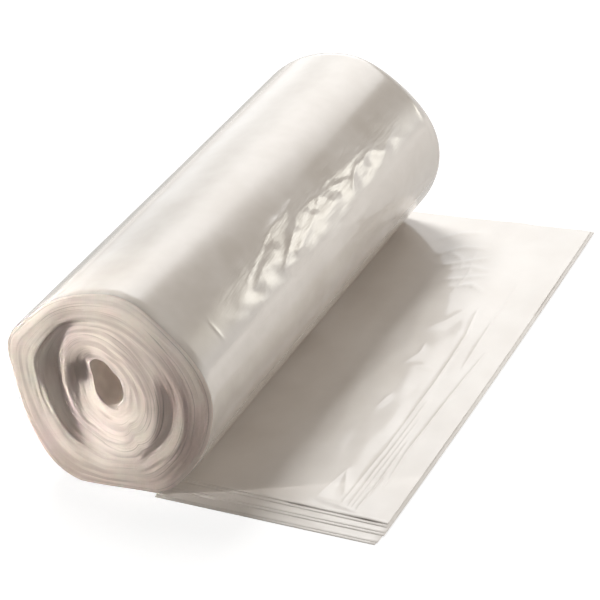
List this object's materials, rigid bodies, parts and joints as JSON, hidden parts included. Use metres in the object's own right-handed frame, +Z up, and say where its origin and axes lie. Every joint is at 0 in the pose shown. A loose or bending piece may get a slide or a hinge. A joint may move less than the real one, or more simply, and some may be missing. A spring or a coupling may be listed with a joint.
{
  "type": "bin bag roll",
  "caption": "Coreless roll of clear film bin bags lying on its side, with spiral folded ends, an open centre and a loose layered tail drawn out flat.",
  "frame": {"origin": "on the surface that the roll lies on, under the middle of the outline", "axes": "+X the way the loose tail lies, +Y along the roll's axis towards the far end, +Z up"},
  "size_m": [0.1692, 0.2532, 0.0933],
  "materials": {
    "film": "glossy clear film, milky where it is wound"
  },
  "bodies": {
    "root": {"bag_roll": "film"}
  },
  "joints": []
}
